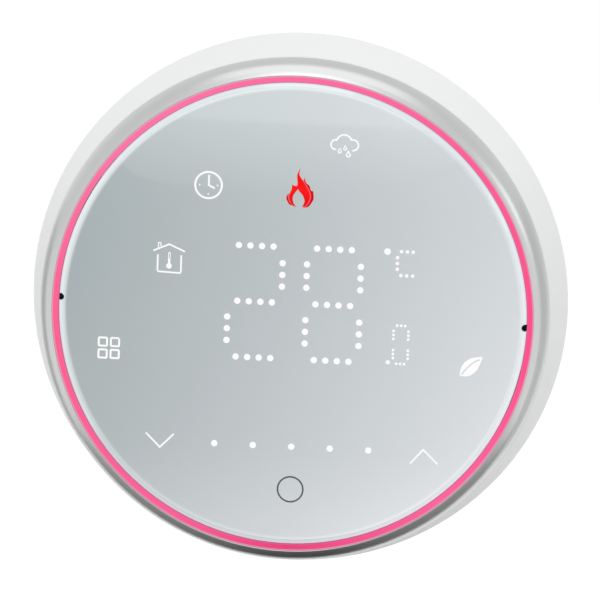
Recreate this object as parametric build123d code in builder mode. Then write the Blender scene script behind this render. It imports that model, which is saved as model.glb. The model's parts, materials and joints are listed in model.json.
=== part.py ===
"""Round wall thermostat: a touch front unit that pulls off a wall unit with an in-wall power box.

Millimetres, +Z up. The origin is the centre of the wall plate's back face, which lies on the wall, and the
front looks along -Y. Depths are counted from the wall: positive towards the room, negative into the wall.
"""

import os
from math import cos, radians, sin

from build123d import *

# ---- Driving dimensions ----------------------------------------------------------------------------------
BODY_RADIUS = 48.0          # widest part of the white shell, close to the wall
SHELL_REAR = 0.4            # shell rim, just clear of the wall
SHELL_FRONT = 12.3          # where the white shell meets the bezel
SHELL_FRONT_RADIUS = 45.75
BEZEL_REAR = 12.65          # leaves a 0.35 mm shadow line in front of the shell
BEZEL_RADIUS = 45.65
BEZEL_FRONT = 17.6
BEZEL_BORE = 43.15          # inner edge of the bezel's front lip
RING_INNER = 41.95          # light ring's visible face runs from here to the bezel
GLASS_RADIUS = 41.85
GLASS_REAR = 15.5
GLASS_FRONT = 17.5
GLASS_BEVEL = 0.75
FILM_REAR = 15.0            # also the front of the display mask
FILM_RADIUS = 40.6
MASK_RADIUS = 40.9
FILM_THICK = 0.25
BOARD_REAR = 10.4
BOARD_FRONT = 12.0
BOARD_RADIUS = 43.5
COVER_REAR = 5.0
COVER_FRONT = 6.4
PLATE_THICK = 2.0
PLATE_RADIUS = 44.6

# Display layout, from the centre of the glass. It sits slightly right of the axis.
LAYOUT_X = 0.5
DIGIT_CENTRE_Z = 1.75
DIGIT_PITCH = 14.0          # tens to units
DIGIT_COLUMN = 9.64         # left column to right column of one digit
DIGIT_ROW = 10.14           # top row to middle row
DOT_STEP_X = 2.07
DOT_STEP_Z = 2.13
DOT_RADIUS = 0.58
TENS_X = LAYOUT_X - 7.35
UNITS_X = TENS_X + DIGIT_PITCH
DEGREE_DOT = (16.65, 11.95)
UNIT_LETTER = (20.2, 9.88)
SMALL_DIGIT = (19.5, -4.87)
POINT_DOT = (17.3, -8.15)
SLIDER_STEP = 6.9
SLIDER_Z = -24.35
KEY_MENU = (-32.7, -7.9)
KEY_DOWN = (LAYOUT_X - 23.6, -24.35)
KEY_UP = (LAYOUT_X + 23.6, -24.9)
KEY_POWER = (LAYOUT_X, -32.1)
ICON_CLOCK = (-15.7, 22.5)
ICON_FLAME = (0.75, 22.8)
ICON_CLOUD = (8.45, 30.8)
ICON_HOUSE = (-22.3, 8.8)
ICON_LEAF = (32.2, -8.3)
TOUCH_KEYS = [KEY_MENU, KEY_DOWN, KEY_UP, KEY_POWER]
ICONS = [ICON_CLOCK, ICON_FLAME, ICON_CLOUD, ICON_HOUSE, ICON_LEAF]
PEG_RADIUS = 0.55           # mask pegs that show in the glass's two rim notches
PEG_CIRCLE = 41.6
PEG_LIMIT = 41.85           # the pegs are cut back here, clear of the light ring
POCKET_DEPTH = 1.8          # light chambers behind the dot holes
POCKET_SIDE = 0.95          # chamber wall to dot centre
PEG_ANGLES = [-0.9, 178.4]

# Components behind the display board
WIFI_MODULE = (-16.5, -15.0)
CONTROL_CHIP = (17.0, 14.0)
BUZZER = (-20.0, 14.0)
SENSOR = (0.0, -40.6)

# In-wall unit
WALL_SCREW_PITCH = 60.0     # European wall box
SLOT_WIDTH = 3.8
SLOT_LENGTH = 7.0
BOX_CIRCLE = 29.0           # passes a 60 mm wall box
BOX_SIDE = 50.0
BOX_WALL = 1.5
BOX_REAR = -21.5
BOX_FRONT = 0.3             # sits in a shallow pocket in the plate's back
SHELF_REAR = -19.6          # the box steps forward here, and the terminals stand behind it
SHELF_THICK = 0.8
STEP_Z = -11.85             # upper edge of the shelf
POWER_FRONT = -16.2         # component side of the power board
POWER_REAR = -17.8
PILLAR = 18.5               # box pillars stand at +-PILLAR in X and Z
CORNERS = (45, 135, 225, 315)
POWER_BOARD_SCREWS = [(-20.3, -6.0), (20.3, 14.0)]
HEADER = (3.0, -4.5)        # board-to-board connector, 2 x 4 pins
PIN_STEP = 2.54
PIN_SIDE = 0.64

# Terminals: h is counted from the shelf's rear face, away from the room
POLES = 6
POLE_STEP = 6.35
BLOCK_HEIGHT = 11.2
BLOCK_LOW_Z = -21.5
BLOCK_HIGH_Z = -12.0
SCREW_Z = (BLOCK_LOW_Z + BLOCK_HIGH_Z) / 2
POLE_X = [(i - (POLES - 1) / 2) * POLE_STEP for i in range(POLES)]
TAG_LEG_Z = SCREW_Z + 3.7   # where each tag's leg goes through shelf and board
CHAMBER_TOP = 8.6
LEDGE_TOP = 9.2             # the screw heads bear on the ledge between these
HEAD_SEAT = 9.3
HEAD_TOP = 10.5
SCREW_TIP = 4.5

# Relay: u is X and v is Z from its centre, w is counted from the power board towards the room
RELAY = (-12.4, 5.9)
RELAY_WIDTH = 15.5
RELAY_LENGTH = 19.5
RELAY_HEIGHT = 15.0
ARMATURE_PIVOT_V = 3.6
ARMATURE_PIVOT_W = 12.0     # the knife edge that the armature rocks on

# Components on the power board
TRANSFORMER = (8.2, 12.8)
MAIN_CAPACITOR = (17.2, -2.4)
FILTER_CAPACITOR = (6.2, -19.4)
RECTIFIER = (-20.0, -10.8)
VARISTOR_Z = -8.6
FUSE_Z = -18.4

SCREW_CIRCLE = 39.6         # rear cover screws
BOARD_SCREW_CIRCLE = 39.6
LED_CIRCLE = 42.2


def at(depth):
    """Sketch plane parallel to the wall. Its x is X, its y is Z, and it extrudes towards the room."""
    return Plane.XZ.offset(depth)


def ring_points(*pairs):
    """(radius, depth) pairs as points of a section that is turned about the Y axis."""
    return [(radius, -depth) for radius, depth in pairs]


def polar(radius, angle):
    return (radius * cos(radians(angle)), radius * sin(radians(angle)))


def segment_dots(centre_x, centre_z, column, row, step_x, step_z, across, segments="abcdefg"):
    """Dot centres of a seven-segment digit whose bars are rows of dots, `across` of them in each flat bar."""
    left, right = centre_x - column / 2, centre_x + column / 2
    flat = [(i - (across - 1) / 2) * step_x for i in range(across)]
    tall = [-step_z, 0.0, step_z]
    dots = []
    for name, z in (("a", row), ("g", 0.0), ("d", -row)):
        if name in segments:
            dots += [(centre_x + x, centre_z + z) for x in flat]
    for name, x, z in (("f", left, row), ("b", right, row), ("e", left, -row), ("c", right, -row)):
        if name in segments:
            dots += [(x, centre_z + z / 2 + dz) for dz in tall]
    return dots


big_dots = []
for digit_x in (TENS_X, UNITS_X):
    big_dots += segment_dots(
        digit_x, DIGIT_CENTRE_Z, DIGIT_COLUMN, DIGIT_ROW, DOT_STEP_X, DOT_STEP_Z, across=4
    )
big_dots += [(LAYOUT_X + (i - 2) * SLIDER_STEP, SLIDER_Z) for i in range(5)]
big_dots.append(DEGREE_DOT)


def bar_centres(digit_x):
    """Centres of a large digit's four upright bars."""
    return [
        (digit_x + sx * DIGIT_COLUMN / 2, DIGIT_CENTRE_Z + sz * DIGIT_ROW / 2)
        for sx in (-1, 1) for sz in (-1, 1)
    ]


# the unit letter is a C: three dots along the top, three along the bottom, three down the left
unit_dots = [
    (UNIT_LETTER[0] + i * 1.05, UNIT_LETTER[1] + side * 2.17) for side in (-1, 1) for i in (-1, 0, 1)
]
unit_dots += [(UNIT_LETTER[0] - 1.73, UNIT_LETTER[1] + i * 1.04) for i in (-1, 0, 1)]
small_dots = segment_dots(*SMALL_DIGIT, 2.66, 3.47, 0.72, 0.72, across=3)

# ---- Front unit: what the user sees and touches -----------------------------------------------------------
with BuildPart() as glass_panel:
    with BuildSketch(at(GLASS_REAR)):
        Circle(GLASS_RADIUS)
        with Locations(*[polar(PEG_CIRCLE, angle) for angle in PEG_ANGLES]):
            Circle(PEG_RADIUS + 0.07, mode=Mode.SUBTRACT)
        with Locations(*[polar(GLASS_RADIUS, angle) for angle in PEG_ANGLES]):
            Rectangle(1.0, 2 * PEG_RADIUS + 0.14, mode=Mode.SUBTRACT)
    extrude(amount=GLASS_FRONT - GLASS_REAR)
    with BuildSketch(Plane.XY) as bevel_cut:
        with BuildLine():
            Polyline(*ring_points(
                (GLASS_RADIUS - GLASS_BEVEL, GLASS_FRONT),
                (GLASS_RADIUS + 0.5, GLASS_FRONT - 0.75),
                (GLASS_RADIUS + 0.5, GLASS_FRONT + 0.5),
                (GLASS_RADIUS - GLASS_BEVEL, GLASS_FRONT + 0.5),
            ), close=True)
        make_face()
    revolve(axis=Axis.Y, mode=Mode.SUBTRACT)
glass_panel.part.label = "glass_panel"

with BuildPart() as light_ring:
    with BuildSketch(Plane.XY):
        with BuildLine():
            Polyline(*ring_points(
                (RING_INNER, 17.2), (RING_INNER, 13.3), (43.65, 13.3), (43.65, 14.4),
                (BEZEL_BORE - 0.05, 14.4), (BEZEL_BORE - 0.05, 17.2),
            ))
            ThreePointArc(*ring_points((BEZEL_BORE - 0.05, 17.2), (42.53, 17.42), (RING_INNER, 17.2)))
        make_face()
    revolve(axis=Axis.Y)
light_ring.part.label = "light_ring"

with BuildPart() as bezel_ring:
    with BuildSketch(Plane.XY):
        with BuildLine():
            Bezier(*ring_points(
                (43.25, BEZEL_FRONT), (44.25, 17.35), (45.35, 16.2), (BEZEL_RADIUS, BEZEL_REAR)
            ))
            Polyline(*ring_points(
                (BEZEL_RADIUS, BEZEL_REAR), (44.2, BEZEL_REAR), (44.2, 10.6), (43.8, 10.6),
                (43.8, 14.5), (BEZEL_BORE, 14.5), (BEZEL_BORE, 17.45),
            ))
            ThreePointArc(*ring_points((BEZEL_BORE, 17.45), (43.18, 17.56), (43.25, BEZEL_FRONT)))
        make_face()
    revolve(axis=Axis.Y)
bezel_ring.part.label = "bezel_ring"

with BuildPart() as front_shell:
    with BuildSketch(Plane.XY):
        with BuildLine():
            ThreePointArc(*ring_points(
                (SHELL_FRONT_RADIUS, SHELL_FRONT - 0.2), (46.92, 7.0), (BODY_RADIUS, 1.5)
            ))
            ThreePointArc(*ring_points((BODY_RADIUS, 1.5), (47.75, 0.75), (47.1, SHELL_REAR)))
            Polyline(*ring_points(
                (47.1, SHELL_REAR), (45.55, SHELL_REAR), (45.55, COVER_FRONT), (44.3, COVER_FRONT),
                (44.3, 8.8), (37.0, 8.8), (37.0, BOARD_REAR), (44.3, BOARD_REAR),
                (44.3, SHELL_FRONT), (45.55, SHELL_FRONT), (SHELL_FRONT_RADIUS, SHELL_FRONT - 0.2),
            ))
        make_face()
    revolve(axis=Axis.Y)
    # bosses for the rear cover screws, with a rib out to the wall
    with BuildSketch(at(COVER_FRONT)):
        with PolarLocations(SCREW_CIRCLE, 4, start_angle=45):
            Circle(2.4)
            with Locations((2.6, 0)):
                Rectangle(4.6, 1.2)
    extrude(amount=8.8 - COVER_FRONT)
    with BuildSketch(at(COVER_FRONT)):
        with PolarLocations(SCREW_CIRCLE, 4, start_angle=45):
            Circle(0.95)
    extrude(amount=3.4, mode=Mode.SUBTRACT)
    # pilot holes for the three board screws
    with BuildSketch(at(8.8)):
        with PolarLocations(BOARD_SCREW_CIRCLE, 3, start_angle=90):
            Circle(0.8)
    extrude(amount=BOARD_REAR - 8.8, mode=Mode.SUBTRACT)
    # catch ribs that pass the wall plate's latch tongues
    with BuildSketch(at(1.6)):
        with PolarLocations(45.55, 4, start_angle=0):
            Rectangle(0.3, 7.0)
    extrude(amount=0.9)
    # air slots at the bottom, beside the temperature sensor
    with BuildSketch(at(3.2)):
        with Locations(*[
            Location((*polar(46.7, -90 + 2.6 * step), 0), (0, 0, 2.6 * step)) for step in range(-4, 5)
        ]):
            Rectangle(1.0, 5.0)
    extrude(amount=2.8, mode=Mode.SUBTRACT)
    # gap in the shelf for the temperature sensor
    with BuildSketch(at(8.0)):
        with Locations((0, -39.2)):
            Rectangle(9.0, 7.2)
    extrude(amount=3.0, mode=Mode.SUBTRACT)
    # pry slot at the bottom of the rim
    with BuildSketch(at(0.0)):
        with Locations((0, -47.0)):
            Rectangle(9.0, 5.0)
    extrude(amount=1.5, mode=Mode.SUBTRACT)
front_shell.part.label = "front_shell"

with BuildPart() as display_mask:
    with BuildSketch(at(BOARD_FRONT)):
        Circle(MASK_RADIUS)
        with Locations(*big_dots):
            Circle(DOT_RADIUS, mode=Mode.SUBTRACT)
        with Locations(*unit_dots):
            Circle(0.36, mode=Mode.SUBTRACT)
        with Locations(*small_dots):
            Circle(0.25, mode=Mode.SUBTRACT)
        with Locations(POINT_DOT):
            Circle(0.4, mode=Mode.SUBTRACT)
        with Locations(*TOUCH_KEYS, *ICONS):
            Circle(3.0, mode=Mode.SUBTRACT)
    extrude(amount=FILM_REAR - BOARD_FRONT)
    # light chambers: one behind each bar of the digits, and one behind each smaller group
    with BuildSketch(at(BOARD_FRONT)):
        for digit_x in (TENS_X, UNITS_X):
            with Locations(*[(digit_x, DIGIT_CENTRE_Z + side * DIGIT_ROW) for side in (-1, 0, 1)]):
                RectangleRounded(3 * DOT_STEP_X + 2 * POCKET_SIDE, 2 * POCKET_SIDE, 0.4)
            with Locations(*bar_centres(digit_x)):
                RectangleRounded(2 * POCKET_SIDE, 2 * DOT_STEP_Z + 2 * POCKET_SIDE, 0.4)
        with Locations(*[(x, z) for x, z in big_dots if z == SLIDER_Z], DEGREE_DOT):
            Circle(POCKET_SIDE)
        with Locations(UNIT_LETTER):
            RectangleRounded(4.6, 5.8, 0.4)
        with Locations(SMALL_DIGIT):
            RectangleRounded(3.8, 8.2, 0.4)
        with Locations((17.1, -8.15)):
            Rectangle(1.4, 1.2)
    extrude(amount=POCKET_DEPTH, mode=Mode.SUBTRACT)
    # room for the board's screw heads
    with BuildSketch(at(BOARD_FRONT)):
        with PolarLocations(BOARD_SCREW_CIRCLE, 3, start_angle=90):
            Rectangle(5.0, 3.8)
    extrude(amount=1.3, mode=Mode.SUBTRACT)
    # pegs that stand in the glass's rim notches
    with BuildSketch(at(14.0)):
        with Locations(*[Location((*polar(41.15, angle), 0), (0, 0, angle)) for angle in PEG_ANGLES]):
            Rectangle(1.2, 1.0)
    extrude(amount=FILM_REAR - 14.0)
    with BuildSketch(at(14.0)):
        with Locations(*[polar(PEG_CIRCLE, angle) for angle in PEG_ANGLES]):
            Circle(PEG_RADIUS)
        Circle(PEG_LIMIT, mode=Mode.INTERSECT)
    extrude(amount=17.3 - 14.0)
display_mask.part.label = "display_mask"

with BuildPart() as diffuser_film:
    with BuildSketch(at(FILM_REAR)):
        Circle(FILM_RADIUS)
    extrude(amount=FILM_THICK)
diffuser_film.part.label = "diffuser_film"

with BuildPart() as glass_adhesive:
    with BuildSketch(at(FILM_REAR + FILM_THICK)):
        Circle(FILM_RADIUS)
        Circle(FILM_RADIUS - 3.0, mode=Mode.SUBTRACT)
    extrude(amount=GLASS_REAR - FILM_REAR - FILM_THICK)
glass_adhesive.part.label = "glass_adhesive"

with BuildPart() as display_board:
    with BuildSketch(at(BOARD_REAR)):
        Circle(BOARD_RADIUS)
        with PolarLocations(BOARD_SCREW_CIRCLE, 3, start_angle=90):
            Circle(1.1, mode=Mode.SUBTRACT)
        with Locations((0, -43.0)):
            Rectangle(7.0, 3.0, mode=Mode.SUBTRACT)
    extrude(amount=BOARD_FRONT - BOARD_REAR)
display_board.part.label = "display_board"

with BuildPart() as ring_leds:
    with BuildSketch(at(BOARD_FRONT)):
        with PolarLocations(LED_CIRCLE, 16, start_angle=11.25):
            Rectangle(1.8, 2.0)
    extrude(amount=0.9)
ring_leds.part.label = "ring_leds"

with BuildPart() as display_leds:
    with BuildSketch(at(BOARD_FRONT)):
        for digit_x in (TENS_X, UNITS_X):
            with Locations(*[(digit_x, DIGIT_CENTRE_Z + side * DIGIT_ROW) for side in (-1, 0, 1)]):
                Rectangle(1.6, 0.8)
            with Locations(*bar_centres(digit_x)):
                Rectangle(0.8, 1.6)
        with Locations(*ICONS):
            Rectangle(1.6, 0.8)
        with Locations(*[(x, z) for x, z in big_dots if z == SLIDER_Z], DEGREE_DOT):
            Rectangle(0.6, 1.0)
        with Locations(UNIT_LETTER, SMALL_DIGIT):
            Rectangle(0.8, 1.6)
    extrude(amount=0.5)
display_leds.part.label = "display_leds"

with BuildPart() as touch_springs:
    for key_x, key_z in TOUCH_KEYS:
        with BuildLine() as coil:
            Helix(0.7, 2.4, 2.0, center=(key_x, -(BOARD_FRONT + 0.25), key_z), direction=(0, -1, 0))
        with BuildSketch(coil.line ^ 0):
            Circle(0.19)
        sweep(path=coil.line, is_frenet=True)
touch_springs.part.label = "touch_springs"

# ---- Front unit: behind the display board ------------------------------------------------------------------
with BuildPart() as wifi_module:
    with BuildSketch(at(BOARD_REAR)):
        with Locations(WIFI_MODULE):
            Rectangle(15.0, 20.0)
    extrude(amount=-0.8)
    with BuildSketch(at(BOARD_REAR - 0.8)):
        with Locations((WIFI_MODULE[0], WIFI_MODULE[1] - 2.4)):
            RectangleRounded(13.6, 14.0, 0.8)
    extrude(amount=-2.2)
wifi_module.part.label = "wifi_module"

with BuildPart() as control_chip:
    with BuildSketch(at(BOARD_REAR - 0.1)):
        with Locations(CONTROL_CHIP):
            Rectangle(10.0, 10.0)
    extrude(amount=-1.4)
    chamfer(control_chip.faces().sort_by(Axis.Y)[-1].edges(), 0.2)
    with BuildSketch(at(BOARD_REAR)):
        with Locations(CONTROL_CHIP):
            with GridLocations(1.0, 11.4, 9, 2):
                Rectangle(0.4, 1.4)
            with GridLocations(11.4, 1.0, 2, 9):
                Rectangle(1.4, 0.4)
    extrude(amount=-0.5)
control_chip.part.label = "control_chip"

with BuildPart() as buzzer:
    with BuildSketch(at(BOARD_REAR)):
        with Locations(BUZZER):
            Circle(5.5)
    extrude(amount=-3.2)
    fillet(buzzer.faces().sort_by(Axis.Y)[-1].edges(), 0.4)
    with BuildSketch(at(BOARD_REAR - 3.2)):
        with Locations(BUZZER):
            Circle(0.9)
    extrude(amount=1.4, mode=Mode.SUBTRACT)
buzzer.part.label = "buzzer"

with BuildPart() as temperature_sensor:
    with BuildSketch(at(7.2)):
        with Locations(SENSOR):
            Ellipse(1.1, 1.5)
    extrude(amount=1.4)
    with BuildSketch(at(8.6)):
        with Locations((-0.6, SENSOR[1]), (0.6, SENSOR[1])):
            Circle(0.22)
    extrude(amount=BOARD_REAR - 8.6)
temperature_sensor.part.label = "temperature_sensor"

with BuildPart() as board_socket:
    with BuildSketch(at(BOARD_REAR)):
        with Locations(HEADER):
            RectangleRounded(10.5, 5.4, 0.4)
            with GridLocations(PIN_STEP, PIN_STEP, 4, 2):
                Rectangle(PIN_SIDE + 0.5, PIN_SIDE + 0.5, mode=Mode.SUBTRACT)
    extrude(amount=-6.2)
board_socket.part.label = "board_socket"

with BuildPart() as rear_cover:
    with BuildSketch(at(COVER_REAR)):
        Circle(45.2)
        with Locations(HEADER):
            RectangleRounded(11.6, 6.5, 0.6, mode=Mode.SUBTRACT)
        with PolarLocations(44.2, 4, start_angle=0):
            Rectangle(3.4, 11.0, mode=Mode.SUBTRACT)
        with Locations((0, -40.4)):
            SlotOverall(7.0, 4.2, mode=Mode.SUBTRACT)
        with Locations((0, 24.0)):
            with GridLocations(3.2, 1.0, 9, 1):
                SlotOverall(9.0, 1.3, rotation=90, mode=Mode.SUBTRACT)
    extrude(amount=COVER_FRONT - COVER_REAR)
    with Locations(*[
        at(COVER_REAR) * Location((*polar(SCREW_CIRCLE, angle), 0), (180, 0, 0))
        for angle in CORNERS
    ]):
        CounterSinkHole(1.2, 2.2, counter_sink_angle=90)
rear_cover.part.label = "rear_cover"


def pan_screw(length, shank, head, head_height):
    """A cross-recessed screw along local z: head above z 0, shank below it."""
    with BuildPart() as screw:
        with BuildSketch(Plane.XY):
            Circle(head)
        extrude(amount=head_height)
        fillet(screw.faces().sort_by(Axis.Z)[-1].edges(), head_height * 0.45)
        with BuildSketch(Plane.XY):
            Circle(shank)
        extrude(amount=-length)
        chamfer(screw.faces().sort_by(Axis.Z)[0].edges(), shank * 0.35)
        with BuildSketch(Plane.XY.offset(head_height)):
            Rectangle(head * 1.15, head * 0.26)
            Rectangle(head * 0.26, head * 1.15)
        extrude(amount=-head_height * 0.6, mode=Mode.SUBTRACT)
    return screw.part


def flat_screw(length, shank, head):
    """A countersunk cross-recessed screw along local z, its head's face at z 0."""
    with BuildPart() as screw:
        with BuildSketch(Plane.XY):
            Circle(head)
        with BuildSketch(Plane.XY.offset(shank - head)):
            Circle(shank)
        loft()
        with BuildSketch(Plane.XY.offset(shank - head)):
            Circle(shank)
        extrude(amount=-(length + shank - head))
        chamfer(screw.faces().sort_by(Axis.Z)[0].edges(), shank * 0.35)
        with BuildSketch(Plane.XY):
            Rectangle(head * 1.15, head * 0.26)
            Rectangle(head * 0.26, head * 1.15)
        extrude(amount=-head * 0.4, mode=Mode.SUBTRACT)
    return screw.part


def screws_at(screw, depth, places, facing_room):
    """Copies of a screw with its head's seat at a depth, looking into the room or into the wall."""
    turn = 0 if facing_room else 180
    return Compound([at(depth) * Location((x, z, 0), (turn, 0, 0)) * screw for x, z in places])


cover_screws = screws_at(
    flat_screw(4.6, 0.93, 2.1), COVER_REAR + 0.02, [polar(SCREW_CIRCLE, a) for a in CORNERS], False
)
cover_screws.label = "cover_screws"
board_screws = screws_at(
    pan_screw(2.8, 0.78, 1.5, 0.9),
    BOARD_FRONT,
    [polar(BOARD_SCREW_CIRCLE, angle) for angle in (90, 210, 330)],
    True,
)
board_screws.label = "board_screws"

# ---- Wall unit: plate and power box ------------------------------------------------------------------------
with BuildPart() as wall_plate:
    with BuildSketch(at(0)):
        Circle(PLATE_RADIUS)
        with GridLocations(WALL_SCREW_PITCH, 1.0, 2, 1):
            SlotOverall(SLOT_LENGTH, SLOT_WIDTH, mode=Mode.SUBTRACT)
        with GridLocations(1.0, WALL_SCREW_PITCH, 1, 2):
            SlotOverall(SLOT_LENGTH, SLOT_WIDTH, rotation=90, mode=Mode.SUBTRACT)
        with Locations(HEADER):
            RectangleRounded(12.0, 7.0, 0.8, mode=Mode.SUBTRACT)
        with GridLocations(3.0, 25.0, 9, 2):
            SlotOverall(7.0, 1.2, rotation=90, mode=Mode.SUBTRACT)
    extrude(amount=PLATE_THICK)
    # shallow pocket in the back that locates the power box, so only the ring around it meets the wall
    with BuildSketch(at(0)):
        Circle(BOX_CIRCLE + 0.3)
        Rectangle(BOX_SIDE + 0.6, BOX_SIDE + 0.6, mode=Mode.INTERSECT)
    extrude(amount=BOX_FRONT, mode=Mode.SUBTRACT)
    # stiffening rim
    with BuildSketch(at(PLATE_THICK)):
        Circle(41.5)
        Circle(40.3, mode=Mode.SUBTRACT)
    extrude(amount=1.2)
    with BuildSketch(at(PLATE_THICK)):
        with PolarLocations(SCREW_CIRCLE, 4, start_angle=45):
            Circle(3.4)
    extrude(amount=1.2, mode=Mode.SUBTRACT)
    # latch tongues with an outward bead
    with BuildSketch(at(PLATE_THICK)):
        with PolarLocations(43.6, 4, start_angle=0):
            Rectangle(1.3, 7.0)
    extrude(amount=4.0)
    with BuildSketch(at(3.6)):
        with PolarLocations(44.4, 4, start_angle=0):
            Rectangle(0.8, 5.0)
    extrude(amount=1.0)
    with Locations(*[
        at(PLATE_THICK) * Location((sx * PILLAR, sz * PILLAR, 0)) for sx in (-1, 1) for sz in (-1, 1)
    ]):
        CounterSinkHole(1.25, 2.4, counter_sink_angle=90)
    # arrow that marks the top
    with BuildSketch(at(PLATE_THICK)):
        with Locations((0, 37.6)):
            Triangle(a=4.0, b=4.0, c=4.0)
    extrude(amount=0.3)
wall_plate.part.label = "wall_plate"

with BuildPart() as power_box:
    with BuildSketch(at(BOX_REAR)):
        Circle(BOX_CIRCLE)
        Rectangle(BOX_SIDE, BOX_SIDE, mode=Mode.INTERSECT)
    extrude(amount=BOX_FRONT - BOX_REAR)
    # step: the lower part ends at the shelf
    with BuildSketch(at(BOX_REAR)):
        with Locations((0, STEP_Z - BOX_SIDE / 2)):
            Rectangle(2 * BOX_SIDE, BOX_SIDE)
    extrude(amount=SHELF_REAR - BOX_REAR, mode=Mode.SUBTRACT)
    # hollow down to the shelf, then deeper above the step
    with BuildSketch(at(SHELF_REAR + SHELF_THICK)):
        Circle(BOX_CIRCLE - BOX_WALL)
        Rectangle(BOX_SIDE - 2 * BOX_WALL, BOX_SIDE - 2 * BOX_WALL, mode=Mode.INTERSECT)
    extrude(amount=BOX_FRONT - SHELF_REAR, mode=Mode.SUBTRACT)
    with BuildSketch(at(BOX_REAR + BOX_WALL)):
        Circle(BOX_CIRCLE - BOX_WALL)
        Rectangle(BOX_SIDE - 2 * BOX_WALL, BOX_SIDE - 2 * BOX_WALL, mode=Mode.INTERSECT)
        with Locations((0, STEP_Z + BOX_WALL + BOX_SIDE / 2)):
            Rectangle(2 * BOX_SIDE, BOX_SIDE, mode=Mode.INTERSECT)
    extrude(amount=SHELF_REAR + SHELF_THICK - BOX_REAR, mode=Mode.SUBTRACT)
    # screw pillars in the four corners, stopping short of the power board
    with BuildSketch(at(-12.0)):
        with GridLocations(2 * PILLAR, 2 * PILLAR, 2, 2):
            Circle(2.3)
        with Locations(*[Location((*polar(27.0, angle), 0), (0, 0, angle)) for angle in CORNERS]):
            Rectangle(2.6, 3.6)
    extrude(amount=12.0 + BOX_FRONT)
    with BuildSketch(at(-9.0)):
        with GridLocations(2 * PILLAR, 2 * PILLAR, 2, 2):
            Circle(0.95)
    extrude(amount=10.0, mode=Mode.SUBTRACT)
    # seats for the power board: two screw bosses, a rib, and two pads on the shelf
    with BuildSketch(at(BOX_REAR + BOX_WALL)):
        with Locations(*POWER_BOARD_SCREWS):
            Circle(2.2)
        with Locations((0, 22.4)):
            Rectangle(16.0, 2.2)
    extrude(amount=POWER_REAR - BOX_REAR - BOX_WALL)
    with BuildSketch(at(SHELF_REAR + SHELF_THICK)):
        with Locations((-21.0, -14.5), (21.0, -14.5)):
            Circle(1.6)
    extrude(amount=POWER_REAR - SHELF_REAR - SHELF_THICK)
    with BuildSketch(at(-21.0)):
        with Locations(*POWER_BOARD_SCREWS):
            Circle(0.8)
    extrude(amount=4.0, mode=Mode.SUBTRACT)
    # holes in the shelf for the terminal tags
    with BuildSketch(at(SHELF_REAR)):
        with Locations(*[(x, TAG_LEG_Z) for x in POLE_X]):
            Rectangle(1.8, 1.2)
    extrude(amount=SHELF_THICK, mode=Mode.SUBTRACT)
power_box.part.label = "power_box"

plate_screws = screws_at(
    flat_screw(9.0, 0.93, 2.3),
    PLATE_THICK - 0.02,
    [(sx * PILLAR, sz * PILLAR) for sx in (-1, 1) for sz in (-1, 1)],
    True,
)
plate_screws.label = "plate_screws"

with BuildPart() as power_board:
    with BuildSketch(at(POWER_REAR)):
        Circle(BOX_CIRCLE - BOX_WALL - 0.4)
        Rectangle(46.2, 46.2, mode=Mode.INTERSECT)
        with Locations(*POWER_BOARD_SCREWS):
            Circle(1.1, mode=Mode.SUBTRACT)
        with Locations(*[(x, TAG_LEG_Z) for x in POLE_X]):
            Rectangle(1.5, 0.9, mode=Mode.SUBTRACT)
        with Locations(HEADER):
            with GridLocations(PIN_STEP, PIN_STEP, 4, 2):
                Rectangle(PIN_SIDE + 0.2, PIN_SIDE + 0.2, mode=Mode.SUBTRACT)
    extrude(amount=POWER_FRONT - POWER_REAR)
power_board.part.label = "power_board"

power_board_screws = screws_at(
    pan_screw(3.4, 0.78, 1.5, 0.9), POWER_FRONT, POWER_BOARD_SCREWS, True
)
power_board_screws.label = "power_board_screws"

# ---- Wall unit: what stands on the power board -------------------------------------------------------------
with BuildPart() as transformer_core:
    with BuildSketch(at(POWER_FRONT + 1.6)):
        with Locations(TRANSFORMER):
            Rectangle(16.0, 5.0)
    extrude(amount=12.0)
    with BuildSketch(at(POWER_FRONT + 3.6)):
        with Locations(TRANSFORMER):
            with GridLocations(8.6, 5.0, 2, 1):
                Rectangle(3.6, 5.2)
    extrude(amount=8.0, mode=Mode.SUBTRACT)
transformer_core.part.label = "transformer_core"

with BuildPart() as transformer_winding:
    with BuildSketch(at(POWER_FRONT)):
        with Locations(TRANSFORMER):
            RectangleRounded(12.0, 12.8, 1.0)
    extrude(amount=1.5)
    with BuildSketch(at(POWER_FRONT + 3.7)):
        with Locations(TRANSFORMER):
            RectangleRounded(12.0, 12.0, 2.4)
            Rectangle(5.1, 5.1, mode=Mode.SUBTRACT)
    extrude(amount=7.8)
    with BuildSketch(at(POWER_FRONT + 1.0)):
        with Locations((TRANSFORMER[0], TRANSFORMER[1] + 4.6), (TRANSFORMER[0], TRANSFORMER[1] - 4.6)):
            Rectangle(7.0, 3.4)
    extrude(amount=3.2)
transformer_winding.part.label = "transformer_winding"

with BuildPart() as main_capacitor:
    with BuildSketch(at(POWER_FRONT)):
        with Locations(MAIN_CAPACITOR):
            Circle(4.9)
    extrude(amount=13.0)
    fillet(main_capacitor.edges().filter_by(GeomType.CIRCLE), 0.5)
main_capacitor.part.label = "main_capacitor"

with BuildPart() as filter_capacitor:
    with BuildSketch(at(POWER_FRONT)):
        with Locations(FILTER_CAPACITOR):
            Rectangle(13.0, 5.0)
    extrude(amount=11.0)
    fillet(filter_capacitor.edges().filter_by(Axis.Y), 0.6)
filter_capacitor.part.label = "filter_capacitor"

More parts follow.
